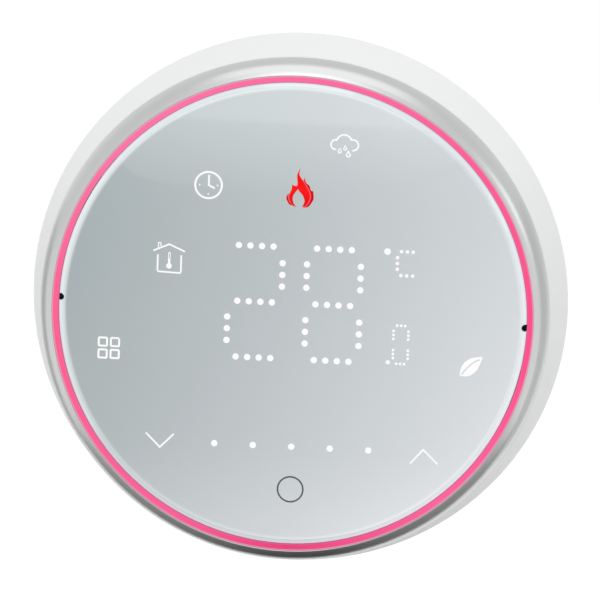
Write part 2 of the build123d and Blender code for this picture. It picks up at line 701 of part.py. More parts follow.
with BuildPart() as varistor:
    with BuildSketch(Plane.YZ.offset(-14.5)):
        with Locations((-POWER_FRONT - 5.6, VARISTOR_Z)):
            Circle(4.2)
    extrude(amount=3.6)
    fillet(varistor.edges().filter_by(GeomType.CIRCLE), 1.2)
    with BuildSketch(at(POWER_FRONT)):
        with Locations((-13.2, VARISTOR_Z - 2.4), (-12.2, VARISTOR_Z + 2.4)):
            Circle(0.35)
    extrude(amount=3.6)
varistor.part.label = "varistor"

with BuildPart() as fuse:
    with BuildSketch(Plane.YZ.offset(-14.9)):
        with Locations((-POWER_FRONT - 2.6, FUSE_Z)):
            Circle(2.0)
    extrude(amount=12.0)
    with BuildSketch(Plane.YZ.offset(-15.2)):
        with Locations((-POWER_FRONT - 2.6, FUSE_Z)):
            Circle(2.2)
    extrude(amount=3.0)
    with BuildSketch(Plane.YZ.offset(-5.6)):
        with Locations((-POWER_FRONT - 2.6, FUSE_Z)):
            Circle(2.2)
    extrude(amount=3.0)
fuse.part.label = "fuse"

with BuildPart() as rectifier:
    with BuildSketch(at(POWER_FRONT + 0.2)):
        with Locations(RECTIFIER):
            Rectangle(4.0, 6.2)
    extrude(amount=2.2)
    chamfer(rectifier.faces().sort_by(Axis.Y)[0].edges(), 0.25)
    with BuildSketch(at(POWER_FRONT)):
        with Locations(RECTIFIER):
            with GridLocations(4.8, 3.0, 2, 2):
                Rectangle(1.4, 1.0)
    extrude(amount=0.5)
rectifier.part.label = "rectifier"

with BuildPart() as pin_guides:
    for depth in (POWER_FRONT, -3.0):
        with BuildSketch(at(depth)):
            with Locations(HEADER):
                RectangleRounded(10.2, 5.1, 0.4)
                with GridLocations(PIN_STEP, PIN_STEP, 4, 2):
                    Rectangle(PIN_SIDE, PIN_SIDE, mode=Mode.SUBTRACT)
        extrude(amount=2.5)
pin_guides.part.label = "pin_guides"

with BuildPart() as header_pins:
    with BuildSketch(at(POWER_REAR - 1.2)):
        with Locations(HEADER):
            with GridLocations(PIN_STEP, PIN_STEP, 4, 2):
                Rectangle(PIN_SIDE, PIN_SIDE)
    extrude(amount=9.2 - POWER_REAR + 1.2)
header_pins.part.label = "header_pins"

# ---- Relay: coil, frame, fixed contact and a hinged armature -----------------------------------------------
relay_x, relay_z = RELAY


def relay_at(w):
    return at(POWER_FRONT + w)


with BuildPart() as relay_base:
    with BuildSketch(relay_at(0)):
        with Locations(RELAY):
            RectangleRounded(RELAY_WIDTH - 1.4, RELAY_LENGTH - 1.4, 0.6)
    extrude(amount=1.4)
relay_base.part.label = "relay_base"

with BuildPart() as relay_cover:
    with BuildSketch(relay_at(0)):
        with Locations(RELAY):
            RectangleRounded(RELAY_WIDTH, RELAY_LENGTH, 1.0)
    extrude(amount=RELAY_HEIGHT)
    chamfer(relay_cover.faces().sort_by(Axis.Y)[0].edges(), 0.5)
    with BuildSketch(relay_at(0)):
        with Locations(RELAY):
            RectangleRounded(RELAY_WIDTH - 1.3, RELAY_LENGTH - 1.3, 0.6)
    extrude(amount=RELAY_HEIGHT - 0.7, mode=Mode.SUBTRACT)
relay_cover.part.label = "relay_cover"

with BuildPart() as relay_coil:
    with Locations(relay_at(2.2) * Location((relay_x, relay_z - 3.5, 0))):
        Cylinder(4.9, 0.7, align=(Align.CENTER, Align.CENTER, Align.MIN))
        Cylinder(4.5, 8.6, align=(Align.CENTER, Align.CENTER, Align.MIN))
    with Locations(relay_at(10.1) * Location((relay_x, relay_z - 3.5, 0))):
        Cylinder(4.9, 0.7, align=(Align.CENTER, Align.CENTER, Align.MIN))
    with Locations(relay_at(1.4) * Location((relay_x, relay_z - 3.5, 0))):
        Cylinder(1.4, 10.2, align=(Align.CENTER, Align.CENTER, Align.MIN))
relay_coil.part.label = "relay_coil"

with BuildPart() as relay_frame:
    with BuildSketch(relay_at(1.4)):
        with Locations((relay_x, relay_z - 0.9)):
            Rectangle(8.0, 10.2)
        with Locations((relay_x, relay_z - 3.5)):
            Circle(1.45, mode=Mode.SUBTRACT)
    extrude(amount=0.75)
    with BuildSketch(relay_at(1.4)):
        with Locations((relay_x, relay_z + ARMATURE_PIVOT_V - 0.6)):
            Rectangle(8.0, 1.1)
    extrude(amount=10.1)
relay_frame.part.label = "relay_frame"

with BuildPart() as relay_armature:
    with BuildSketch(relay_at(ARMATURE_PIVOT_W + 0.2)):
        with Locations((relay_x, relay_z - 1.3)):
            RectangleRounded(8.6, 10.0, 0.6)
    extrude(amount=1.0)
    with BuildSketch(relay_at(ARMATURE_PIVOT_W + 0.2)):
        with Locations((relay_x, relay_z + 4.5)):
            Rectangle(5.0, 1.8)
    extrude(amount=0.5)
    with BuildSketch(relay_at(3.8)):
        with Locations((relay_x, relay_z + 5.2)):
            Rectangle(5.0, 0.4)
    extrude(amount=8.6)
    with Locations(Location((relay_x, -POWER_FRONT - 5.2, relay_z + 5.4))):
        Cylinder(1.2, 0.5, align=(Align.CENTER, Align.CENTER, Align.MIN))
relay_armature.part.label = "relay_armature"

with BuildPart() as relay_contact:
    with BuildSketch(relay_at(1.4)):
        with Locations((relay_x, relay_z + 7.3)):
            Rectangle(5.0, 0.6)
    extrude(amount=5.6)
    with Locations(Location((relay_x, -POWER_FRONT - 5.2, relay_z + 7.0))):
        Cylinder(1.2, 0.6, align=(Align.CENTER, Align.CENTER, Align.MAX))
relay_contact.part.label = "relay_contact"

# ---- Screw terminals: rising clamps on captive screws. Four turns of the 0.5 mm pitch lift a clamp 2 mm. ---
CLAMP_WIDTH = 4.6
CLAMP_DEEP = 6.0            # along Z
CLAMP_LOW = 0.5             # open clamp: underside of its lower bar
CLAMP_HIGH = 6.4            # open clamp: top of its threaded bar


def block_at(h):
    return at(SHELF_REAR - h)


with BuildPart() as terminal_block:
    with BuildSketch(block_at(BLOCK_HEIGHT)):
        with Locations((0, SCREW_Z)):
            Rectangle(POLES * POLE_STEP, BLOCK_HIGH_Z - BLOCK_LOW_Z)
    extrude(amount=BLOCK_HEIGHT)
    rear_rim = terminal_block.faces().sort_by(Axis.Y)[-1].edges()
    chamfer(rear_rim, 0.5)
    # chamber of each clamp, open towards the shelf, with a channel for the tag's leg
    with BuildSketch(block_at(CHAMBER_TOP)):
        with Locations(*[(x, SCREW_Z) for x in POLE_X]):
            Rectangle(CLAMP_WIDTH + 0.5, CLAMP_DEEP + 0.5)
    extrude(amount=CHAMBER_TOP, mode=Mode.SUBTRACT)
    with BuildSketch(block_at(4.4)):
        with Locations(*[(x, TAG_LEG_Z - 0.1) for x in POLE_X]):
            Rectangle(2.9, 1.0)
    extrude(amount=4.4, mode=Mode.SUBTRACT)
    # wells for the screw heads, and a hole through the ledge under each
    with BuildSketch(block_at(BLOCK_HEIGHT)):
        with Locations(*[(x, SCREW_Z) for x in POLE_X]):
            Circle(2.3)
    extrude(amount=BLOCK_HEIGHT - LEDGE_TOP, mode=Mode.SUBTRACT)
    with BuildSketch(block_at(LEDGE_TOP)):
        with Locations(*[(x, SCREW_Z) for x in POLE_X]):
            Circle(1.8)
    extrude(amount=LEDGE_TOP - CHAMBER_TOP, mode=Mode.SUBTRACT)
    # wire entries, looking down
    with BuildSketch(Plane.XY.offset(BLOCK_LOW_Z)):
        with Locations(*[(x, -SHELF_REAR + 2.45) for x in POLE_X]):
            RectangleRounded(3.4, 2.6, 1.0)
    extrude(amount=3.0, mode=Mode.SUBTRACT)
terminal_block.part.label = "terminal_block"

with BuildPart() as terminal_tags:
    # blade under the screw's tip
    with BuildSketch(block_at(4.2)):
        with Locations(*[(x, SCREW_Z + 0.45) for x in POLE_X]):
            Rectangle(2.6, 7.1)
    extrude(amount=0.6)
    # leg down to the shelf, and its pin through shelf and board
    with BuildSketch(block_at(4.2)):
        with Locations(*[(x, TAG_LEG_Z) for x in POLE_X]):
            Rectangle(2.6, 0.6)
    extrude(amount=4.2)
    with BuildSketch(block_at(0.1)):
        with Locations(*[(x, TAG_LEG_Z) for x in POLE_X]):
            Rectangle(1.2, 0.6)
    extrude(amount=POWER_FRONT + 1.0 - SHELF_REAR + 0.1)
terminal_tags.part.label = "terminal_tags"

terminal_screws = []
terminal_clamps = []
for number, x in enumerate(POLE_X, start=1):
    with BuildPart() as screw:
        with BuildSketch(block_at(HEAD_TOP)):
            with Locations((x, SCREW_Z)):
                Circle(2.0)
        extrude(amount=HEAD_TOP - HEAD_SEAT)
        chamfer(screw.faces().sort_by(Axis.Y)[-1].edges(), 0.25)
        with BuildSketch(block_at(HEAD_TOP)):
            with Locations((x, SCREW_Z)):
                Rectangle(4.2, 0.7)
        extrude(amount=0.65, mode=Mode.SUBTRACT)
        with BuildSketch(block_at(HEAD_SEAT)):
            with Locations((x, SCREW_Z)):
                Circle(1.5)
        extrude(amount=HEAD_SEAT - SCREW_TIP)
        chamfer(screw.faces().sort_by(Axis.Y)[0].edges(), 0.3)
    screw.part.label = f"terminal_screw_{number}"
    terminal_screws.append(screw.part)

    with BuildPart() as clamp:
        with BuildSketch(block_at(CLAMP_HIGH)):
            with Locations((x, SCREW_Z)):
                RectangleRounded(CLAMP_WIDTH, CLAMP_DEEP, 0.3)
        extrude(amount=CLAMP_HIGH - CLAMP_LOW)
        with BuildSketch(block_at(5.2)):
            with Locations((x, SCREW_Z)):
                Rectangle(3.2, CLAMP_DEEP + 1)
        extrude(amount=3.9, mode=Mode.SUBTRACT)
        with BuildSketch(block_at(CLAMP_HIGH)):
            with Locations((x, SCREW_Z)):
                Circle(1.56)
        extrude(amount=1.2, mode=Mode.SUBTRACT)
    clamp.part.label = f"terminal_clamp_{number}"
    terminal_clamps.append(clamp.part)

# ---- Files -------------------------------------------------------------------------------------------------
solids = [
    glass_panel.part, light_ring.part, bezel_ring.part, front_shell.part, display_mask.part,
    diffuser_film.part, glass_adhesive.part, display_board.part, ring_leds.part, display_leds.part,
    touch_springs.part, wifi_module.part, control_chip.part, buzzer.part, temperature_sensor.part,
    board_socket.part, rear_cover.part, cover_screws, board_screws,
    wall_plate.part, power_box.part, plate_screws, power_board.part, power_board_screws,
    transformer_core.part, transformer_winding.part, main_capacitor.part, filter_capacitor.part,
    varistor.part, fuse.part, rectifier.part, pin_guides.part, header_pins.part,
    relay_base.part, relay_cover.part, relay_coil.part, relay_frame.part, relay_armature.part,
    relay_contact.part, terminal_block.part, terminal_tags.part, *terminal_screws, *terminal_clamps,
]
os.makedirs("parts", exist_ok=True)
for solid in solids:
    export_step(solid, f"parts/{solid.label}.step")
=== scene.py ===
import json
from math import atan2, cos, degrees, pi, radians, sin

import bpy
from mathutils import Matrix, Vector


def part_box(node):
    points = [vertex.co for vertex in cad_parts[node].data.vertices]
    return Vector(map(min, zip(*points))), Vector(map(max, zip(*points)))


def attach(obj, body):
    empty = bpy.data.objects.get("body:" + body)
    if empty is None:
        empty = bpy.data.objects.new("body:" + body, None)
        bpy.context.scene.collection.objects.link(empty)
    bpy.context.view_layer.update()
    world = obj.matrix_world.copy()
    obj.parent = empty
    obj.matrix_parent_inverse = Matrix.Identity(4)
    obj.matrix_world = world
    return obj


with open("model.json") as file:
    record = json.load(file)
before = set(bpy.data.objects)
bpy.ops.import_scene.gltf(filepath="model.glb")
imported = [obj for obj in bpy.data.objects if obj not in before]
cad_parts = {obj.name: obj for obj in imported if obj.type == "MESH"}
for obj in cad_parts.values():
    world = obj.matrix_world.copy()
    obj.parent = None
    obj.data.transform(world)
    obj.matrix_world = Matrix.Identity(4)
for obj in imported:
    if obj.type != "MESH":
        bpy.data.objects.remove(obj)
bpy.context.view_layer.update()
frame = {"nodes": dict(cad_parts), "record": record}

# Lengths on the object are in millimetres, and the floor, cards and lamps are placed in metres. Depths are
# counted from the wall towards the room, so y = -depth.
MM = 0.001
GLASS_FRONT = -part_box("glass_panel")[0].y / MM

# Centres of the legends, measured from the centre of the glass. LEGEND_LIFT raises every one of them.
TENS_X = -6.85
UNITS_X = 7.15
DIGIT_Z = 1.75
UNIT_LETTER = (20.2, 9.88)
UNIT_DEGREE = (16.65, 11.95)
SMALL_DIGIT = (19.5, -4.87)
SMALL_POINT = (17.3, -8.15)
SLIDER_X = 0.5
SLIDER_Z = -24.35
SLIDER_STEP = 6.9
KEY_MENU = (-32.7, -7.9)
KEY_POWER = (0.54, -32.09)
ICON_CLOCK = (-15.7, 22.5)
ICON_FLAME = (0.75, 22.62)
ICON_CLOUD = (8.45, 30.8)
ICON_HOUSE = (-22.3, 8.8)
ICON_LEAF = (32.2, -8.22)
LEGEND_LIFT = 0.18

# Radii on the front: where the glass rim starts to turn pale and take on a painted glow, where it is all
# pale, where the painted glow on its lip is full, and the soft edges of the ring, the inner one darkened by a
# painted shadow
RIM_START = 40.3
RIM_PALE = 41.1
LIP_PAINTED_GLOW = 41.35
RING_INNER_EDGE = (42.0, 42.10)
RING_OUTER_EDGE = (42.86, 42.98)

# How far a legend starts below the face of the glass, and how far it usually stands proud
LEGEND_SUNK = 0.01
LEGEND_PROUD = 0.02


# ---- Colours and shader nodes ------------------------------------------------------------------------------
def srgb(code):
    """Linear RGBA from a colour written as RRGGBB."""
    channels = [int(code[i:i + 2], 16) / 255 for i in (0, 2, 4)]
    return (*[c / 12.92 if c <= 0.04045 else ((c + 0.055) / 1.055) ** 2.4 for c in channels], 1.0)


class Shader:
    """A material's node tree, built with short calls that return output sockets."""

    def __init__(self, name):
        self.material = bpy.data.materials.new(name)
        self.material.use_nodes = True
        self.tree = self.material.node_tree
        self.tree.nodes.clear()
        self.output = self.tree.nodes.new("ShaderNodeOutputMaterial")
        self.place = self.tree.nodes.new("ShaderNodeTexCoord").outputs["Object"]

    def node(self, kind, inputs, settings=None):
        made = self.tree.nodes.new(kind)
        for key, value in (settings or {}).items():
            setattr(made, key, value)
        for key, value in inputs.items():
            if isinstance(value, bpy.types.NodeSocket):
                self.tree.links.new(value, made.inputs[key])
            else:
                made.inputs[key].default_value = value
        return made

    def maths(self, operation, a, b=0.0, c=0.0):
        return self.node("ShaderNodeMath", {0: a, 1: b, 2: c}, {"operation": operation}).outputs[0]

    def axes(self):
        """X, Y and Z in millimetres."""
        split = self.node("ShaderNodeSeparateXYZ", {0: self.place})
        return [self.maths("DIVIDE", split.outputs[i], MM) for i in range(3)]

    def turn(self, x, z):
        """Angle about the centre of the front: 0 and 1 to the left, 0.25 at the foot, 0.5 to the right."""
        return self.maths("MULTIPLY_ADD", self.maths("ARCTAN2", z, x), 0.5 / pi, c=0.5)

    def distance(self, x, z):
        """Distance from the axis x = z = 0."""
        squares = self.maths("ADD", self.maths("MULTIPLY", x, x), self.maths("MULTIPLY", z, z))
        return self.maths("SQRT", squares)

    def span(self, value, low, high, smooth=False):
        """0 at low and 1 at high, held beyond both. low may be the greater, for a falling value."""
        kind = "SMOOTHSTEP" if smooth else "LINEAR"
        made = self.node(
            "ShaderNodeMapRange",
            {"Value": value, "From Min": low, "From Max": high},
            {"interpolation_type": kind},
        )
        return made.outputs[0]

    def ramp(self, value, stops, interpolation="LINEAR"):
        made = self.node("ShaderNodeValToRGB", {0: value})
        made.color_ramp.interpolation = interpolation
        elements = made.color_ramp.elements
        while len(elements) < len(stops):
            elements.new(0.5)
        for element, (position, colour) in zip(elements, stops):
            element.position = position
            element.color = srgb(colour) if isinstance(colour, str) else colour
        return made.outputs[0]

    def mix(self, factor, a, b):
        made = self.node("ShaderNodeMix", {}, {"data_type": "RGBA"})
        for key, value in ((0, factor), (6, a), (7, b)):
            if isinstance(value, bpy.types.NodeSocket):
                self.tree.links.new(value, made.inputs[key])
            else:
                made.inputs[key].default_value = srgb(value) if isinstance(value, str) else value
        return made.outputs[2]

    def noise(self, scale, detail=3.0, stretch=None):
        """Noise whose scale counts lumps per metre, along stretched axes if asked."""
        vector = self.place
        if stretch:
            vector = self.node("ShaderNodeMapping", {"Vector": vector, "Scale": stretch}).outputs[0]
        made = self.node("ShaderNodeTexNoise", {"Vector": vector, "Scale": scale, "Detail": detail})
        return made.outputs[0]

    def bump(self, height, strength, distance):
        made = self.node("ShaderNodeBump", {"Height": height, "Strength": strength, "Distance": distance})
        return made.outputs[0]

    def principled(self, **inputs):
        named = {key.replace("_", " "): value for key, value in inputs.items()}
        made = self.node("ShaderNodeBsdfPrincipled", named)
        self.tree.links.new(made.outputs[0], self.output.inputs[0])
        return self.material

    def emission(self, colour, strength):
        made = self.node("ShaderNodeEmission", {"Color": colour, "Strength": strength})
        self.tree.links.new(made.outputs[0], self.output.inputs[0])
        return self.material


def moulded(name, colour, roughness=0.45, grain=0.06, shade=0.03, coat=0.0, shine=0.5):
    """Moulded plastic: a very fine grain and a slow drift of shade. grain is the bump's strength."""
    s = Shader(name)
    light = srgb(colour)
    dark = (*[c * (1 - shade) for c in light[:3]], 1.0)
    tone = s.mix(s.noise(60.0, 2.0), dark, light)
    fine = s.noise(4200.0, 2.0)
    rough = s.maths("ADD", s.maths("MULTIPLY", fine, 0.08), roughness - 0.04)
    return s.principled(
        Base_Color=tone, Roughness=rough, Normal=s.bump(fine, grain, 0.0001), Coat_Weight=coat,
        Coat_Roughness=0.1, Specular_IOR_Level=shine,
    )


def metal(name, colour, roughness=0.3, stretch=(1, 1, 1), grain=0.05, shade=0.08):
    """Drawn, stamped or plated metal, with marks along the least stretched axis."""
    s = Shader(name)
    light = srgb(colour)
    dark = (*[c * (1 - shade) for c in light[:3]], 1.0)
    marks = s.noise(2500.0, 4.0, stretch)
    tone = s.mix(marks, dark, light)
    rough = s.maths("ADD", s.maths("MULTIPLY", marks, 0.16), roughness - 0.08)
    return s.principled(
        Base_Color=tone, Metallic=1.0, Roughness=rough, Normal=s.bump(marks, grain, 0.00005)
    )


# ---- Looks of the front ------------------------------------------------------------------------------------
def studio_paint(code, gain=0.85, veil=0.068):
    """Base colour that reads as RRGGBB once the clear coat's even reflection, the veil, lies over it."""
    return (*[max(0.0, (c - veil) / gain) for c in srgb(code)[:3]], 1.0)


def glass_look():
    """Silvered glass whose base colour carries a painted reflection, lighter to the right and towards the
    foot, and a pale ground rim with a painted glow from the ring.
    """
    s = Shader("glass_look")
    x, _, z = s.axes()
    foot = s.maths("MAXIMUM", s.maths("SUBTRACT", 18.0, z), 0.0)
    # The level here is the mean of red, green and blue that the silver is to show, out of 255: the silver's
    # own tone with a painted reflection over it, lighter to the right and towards the foot.
    painted_reflection_level = 193.4
    for value, weight in (
        (x, 0.541),
        (s.maths("MULTIPLY", x, x), 0.00083),
        (z, 0.094),
        (s.maths("MULTIPLY", foot, foot), 0.00733),
        (s.maths("MULTIPLY", x, z), -0.00254),
        (s.span(z, -38.0, -25.0), -6.5),
        (s.span(z, -25.0, -3.0), -2.2),
        (s.span(z, -3.0, 19.0), -6.0),
    ):
        painted_reflection_level = s.maths("MULTIPLY_ADD", value, weight, c=painted_reflection_level)
    drift = s.maths("SUBTRACT", s.noise(25.0, 2.0), 0.5)
    painted_reflection_level = s.maths("MULTIPLY_ADD", drift, 1.5, c=s.maths("ADD", painted_reflection_level, 4.2))
    stops = ((168, "A2ABAD"), (176, "ABB3B5"), (184, "B2BABC"), (192, "BCC1C4"), (200, "C4C9CC"),
             (216, "D4D8DB"), (232, "E5E9EB"))
    darkest, lightest = stops[0][0], stops[-1][0]
    # The silver colour below carries that painted reflection.
    silver = s.ramp(
        s.span(painted_reflection_level, darkest, lightest),
        [((value - darkest) / (lightest - darkest), studio_paint(code)) for value, code in stops],
    )
    radius = s.distance(x, z)
    # Over the rim and the lip the glass gets a painted glow from the ring, given as emission.
    rim = s.span(radius, RIM_START, RIM_PALE, smooth=True)
    painted_lip_glow = s.span(radius, RIM_PALE, LIP_PAINTED_GLOW)
    # The painted glow is brighter to the right.
    side = s.span(s.maths("DIVIDE", x, radius), -1.0, 1.0)
    glow = s.mix(side, "CBD3D3", "E6EAEE")
    # The pale rim is partly the ground edge's own colour and partly painted light, brighter and darker in
    # turns around the rim.
    pale = s.ramp(s.turn(x, z), [
        (0.0, "C6CDCC"), (0.11, "BBC3C4"), (0.33, "E0E4E5"), (0.6, "BAC1C3"), (0.83, "BDC4C5"),
        (0.93, "C8CFCF"), (1.0, "C6CDCC"),
    ])
    # The emission here is painted light: the glass is no lamp.
    return s.principled(
        Base_Color=s.mix(rim, silver, pale), Metallic=0.0, Roughness=0.28, IOR=1.5,
        Coat_Weight=1.0, Coat_Roughness=0.015, Coat_IOR=1.5,
        Emission_Color=s.mix(painted_lip_glow, glow, "D2EDF2"),
        Emission_Strength=s.maths("MULTIPLY_ADD", rim, 0.22, c=s.maths("MULTIPLY", painted_lip_glow, 0.12)),
    )


def ring_look():
    """Lit light guide: pink that drifts around the ring, with a painted shadow darkening its inner edge by
    the glass, and pale at its outer edge.
    """
    s = Shader("ring_look")
    x, _, z = s.axes()
    core = s.ramp(s.turn(x, z), [
        (0.0, "FE6393"), (0.17, "FD6199"), (0.25, "E9477D"), (0.36, "FE659E"), (0.5, "FD518B"),
        (0.68, "FE699E"), (0.88, "FC77A7"), (1.0, "FE6393"),
    ])
    radius = s.distance(x, z)
    inner = s.span(radius, RING_INNER_EDGE[1], RING_INNER_EDGE[0])
    outer = s.span(radius, RING_OUTER_EDGE[0], RING_OUTER_EDGE[1])
    edge = s.maths("MAXIMUM", inner, outer)
    ripple = s.maths("MULTIPLY", s.noise(140.0, 1.0), 0.06)
    # The darker pink at the inner edge is a painted shadow of the gap between the ring and the glass.
    colour = s.mix(s.maths("MULTIPLY", edge, 0.7), core, s.mix(inner, "D9AEBC", "B0688A"))
    return s.emission(colour, s.maths("ADD", ripple, 0.97))


def bezel_look():
    """Satin silver with a fine flake."""
    s = Shader("bezel_look")
    flake = s.noise(5200.0, 2.0)
    slow = s.noise(40.0, 2.0)
    tone = s.mix(s.maths("MULTIPLY", s.maths("ADD", flake, slow), 0.5), "C7C8C8", "CFD0D0")
    rough = s.maths("ADD", s.maths("MULTIPLY", flake, 0.08), 0.27)
    return s.principled(
        Base_Color=tone, Metallic=1.0, Roughness=rough, Normal=s.bump(flake, 0.03, 0.00005),
    )


def legend_look(name, colour, glow=1.0):
    """Lit or printed legend: an even glow with a slight unevenness."""
    s = Shader(name)
    dim = (*[c * 0.94 for c in srgb(colour)[:3]], 1.0)
    tone = s.mix(s.noise(900.0, 2.0), dim, srgb(colour))
    return s.emission(tone, s.maths("ADD", s.maths("MULTIPLY", s.noise(300.0, 1.0), 0.06), glow - 0.03))


def flame_look():
    """Red flame legend, deeper towards its foot."""
    s = Shader("flame_look")
    _, _, z = s.axes()
    tone = s.ramp(s.span(z, 19.4, 26.2), [(0.0, "E41414"), (0.45, "FF1E1E"), (1.0, "F41414")])
    return s.emission(tone, s.maths("ADD", s.maths("MULTIPLY", s.noise(500.0, 1.0), 0.08), 0.93))


# ---- Looks of everything behind the front ------------------------------------------------------------------
def board_look(name, dark, light):
    """Circuit board: solder mask over tracks of two widths, and tinned vias."""
    s = Shader(name)
    flat = s.node("ShaderNodeMapping", {"Vector": s.place, "Rotation": (radians(90), 0, 0)}).outputs[0]
    tracks = s.node(
        "ShaderNodeTexBrick",
        {"Vector": flat, "Scale": 130.0, "Mortar Size": 0.035, "Mortar Smooth": 0.05,
         "Brick Width": 0.9, "Row Height": 0.31, "Color1": (0, 0, 0, 1), "Color2": (0, 0, 0, 1),
         "Mortar": (1, 1, 1, 1)},
        {"offset": 0.37, "squash": 1.6, "squash_frequency": 3},
    ).outputs[0]
    turned = s.node("ShaderNodeMapping", {"Vector": flat, "Rotation": (0, 0, radians(90))}).outputs[0]
    wide = s.node(
        "ShaderNodeTexBrick",
        {"Vector": turned, "Scale": 60.0, "Mortar Size": 0.03, "Mortar Smooth": 0.05,
         "Brick Width": 1.3, "Row Height": 0.42, "Color1": (0, 0, 0, 1), "Color2": (0, 0, 0, 1),
         "Mortar": (1, 1, 1, 1)},
        {"offset": 0.29},
    ).outputs[0]
    copper = s.maths("MAXIMUM", tracks, wide)
    tone = s.mix(copper, dark, light)
    dots = s.node("ShaderNodeTexVoronoi", {"Vector": flat, "Scale": 230.0, "Randomness": 0.8}).outputs[0]
    via = s.maths("LESS_THAN", dots, 0.11)
    tone = s.mix(via, tone, "C9CBB8")
    return s.principled(
        Base_Color=tone, Roughness=0.3, Metallic=s.maths("MULTIPLY", via, 0.9),
        Normal=s.bump(copper, 0.25, 0.00005), Coat_Weight=0.4, Coat_Roughness=0.15,
    )


def led_look():
    """White package with a yellow phosphor window, drawn by its height in front of the board."""
    s = Shader("led_look")
    _, y, _ = s.axes()
    fine = s.noise(1800.0, 2.0)
    face = s.span(y, -12.4, -12.75)
    tone = s.mix(s.maths("MULTIPLY", face, s.maths("ADD", fine, 0.2)), "ECEADF", "E9D77A")
    return s.principled(Base_Color=tone, Roughness=0.35)


def chip_look():
    """Moulded epoxy. The control chip, the only one right of x = 10, has tinned pins outside its body."""
    s = Shader("chip_look")
    x, _, z = s.axes()
    fine = s.noise(3800.0, 3.0)
    body = s.mix(fine, "141416", "26262A")
    pins = s.span(x, 11.9, 11.8)
    pins = s.maths("MAXIMUM", pins, s.span(x, 22.1, 22.2))
    pins = s.maths("MAXIMUM", pins, s.maths("MAXIMUM", s.span(z, 8.9, 8.8), s.span(z, 19.1, 19.2)))
    pins = s.maths("MULTIPLY", pins, s.maths("GREATER_THAN", x, 10.0))
    return s.principled(
        Base_Color=s.mix(pins, body, "C6C7C4"), Metallic=s.maths("MULTIPLY", pins, 0.9),
        Roughness=0.5, Normal=s.bump(fine, 0.1, 0.0001),
    )


def tape_look():
    """Polyester tape in lapped turns."""
    s = Shader("tape_look")
    wave = s.node(
        "ShaderNodeTexWave",
        {"Vector": s.place, "Scale": 260.0, "Distortion": 0.6, "Detail": 1.0},
        {"bands_direction": "Y", "wave_profile": "SAW"},
    ).outputs[0]
    tone = s.mix(wave, "C79A1C", "E0B63C")
    return s.principled(
        Base_Color=tone, Roughness=0.22, Normal=s.bump(wave, 0.2, 0.0001), Coat_Weight=0.5,
    )


def can_look():
    """Sleeved electrolytic can: dark sleeve with a pale stripe, and a bare scored top."""
    s = Shader("can_look")
    low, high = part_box("main_capacitor")
    centre = (low + high) / 2 / MM
    x, y, z = s.axes()
    dx = s.maths("SUBTRACT", x, centre.x)
    dz = s.maths("SUBTRACT", z, centre.z)
    angle = s.maths("ARCTAN2", dz, dx)
    stripe = s.maths("MULTIPLY", s.maths("GREATER_THAN", angle, 0.3), s.maths("LESS_THAN", angle, 1.1))
    sleeve = s.mix(stripe, "15182A", "B9BCC6")
    radius = s.distance(dx, dz)
    top = s.maths("MULTIPLY", s.maths("LESS_THAN", y, low.y / MM + 0.2), s.maths("LESS_THAN", radius, 4.1))
    score = s.maths("MINIMUM", s.maths("ABSOLUTE", dx), s.maths("ABSOLUTE", dz))
    groove = s.maths("MULTIPLY", top, s.maths("LESS_THAN", score, 0.18))
    brushed = s.noise(900.0, 3.0, (6, 1, 1))
    bare = s.mix(brushed, "B4B6B8", "D2D4D6")
    bare = s.mix(groove, bare, "6F7173")
    return s.principled(
        Base_Color=s.mix(top, sleeve, bare), Metallic=s.maths("MULTIPLY", top, 0.9), Roughness=0.28,
        Coat_Weight=0.3,
    )


def fuse_look():
    """Glass tube with plated end caps and a wire inside."""
    s = Shader("fuse_look")
    low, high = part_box("fuse")
    x, _, z = s.axes()
    cap_length = 3.0
    blur = 0.05
    left = s.span(x, low.x / MM + cap_length + blur, low.x / MM + cap_length)
    right = s.span(x, high.x / MM - cap_length - blur, high.x / MM - cap_length)
    cap = s.maths("MAXIMUM", left, right)
    wire = s.maths("ABSOLUTE", s.maths("SUBTRACT", z, (low.z + high.z) / 2 / MM))
    thread = s.maths("MULTIPLY", s.maths("LESS_THAN", wire, 0.14), s.maths("SUBTRACT", 1.0, cap))
    haze = s.noise(700.0, 2.0)
    tube = s.mix(haze, "C9D2CF", "DDE5E2")
    tube = s.mix(thread, tube, "7C7F7E")
    plated = s.mix(s.noise(2400.0, 3.0, (1, 5, 5)), "B3B4B2", "D0D1CE")
    return s.principled(
        Base_Color=s.mix(cap, tube, plated), Metallic=s.maths("MULTIPLY", cap, 0.95), Roughness=0.16,
        Coat_Weight=1.0, Coat_Roughness=0.03,
    )


def coil_look():
    """Enamelled wire wound in close turns around Y."""
    s = Shader("coil_look")
    wave = s.node(
        "ShaderNodeTexWave", {"Vector": s.place, "Scale": 900.0, "Distortion": 0.2}, {"bands_direction": "Y"}
    ).outputs[0]
    tone = s.mix(wave, "7A3312", "C46A32")
    return s.principled(Base_Color=tone, Metallic=0.6, Roughness=0.3, Normal=s.bump(wave, 0.4, 0.0001))


def varistor_look():
    """Dipped epoxy with its soft orange-peel skin."""
    s = Shader("varistor_look")
    peel = s.noise(700.0, 2.0)
    tone = s.mix(s.noise(120.0, 2.0), "1B4F9C", "2560B4")
    return s.principled(Base_Color=tone, Roughness=0.22, Normal=s.bump(peel, 0.25, 0.0002), Coat_Weight=0.6)


def passivated_look():
    """Zinc with a thin yellow passivation that drifts towards blue."""
    s = Shader("passivated_look")
    tone = s.ramp(s.noise(260.0, 3.0), [(0.3, "D6C48A"), (0.55, "D9D0AE"), (0.75, "BFC4CC")])
    marks = s.noise(2600.0, 3.0)
    return s.principled(
        Base_Color=tone, Metallic=1.0, Roughness=0.3, Normal=s.bump(marks, 0.06, 0.00005)
    )


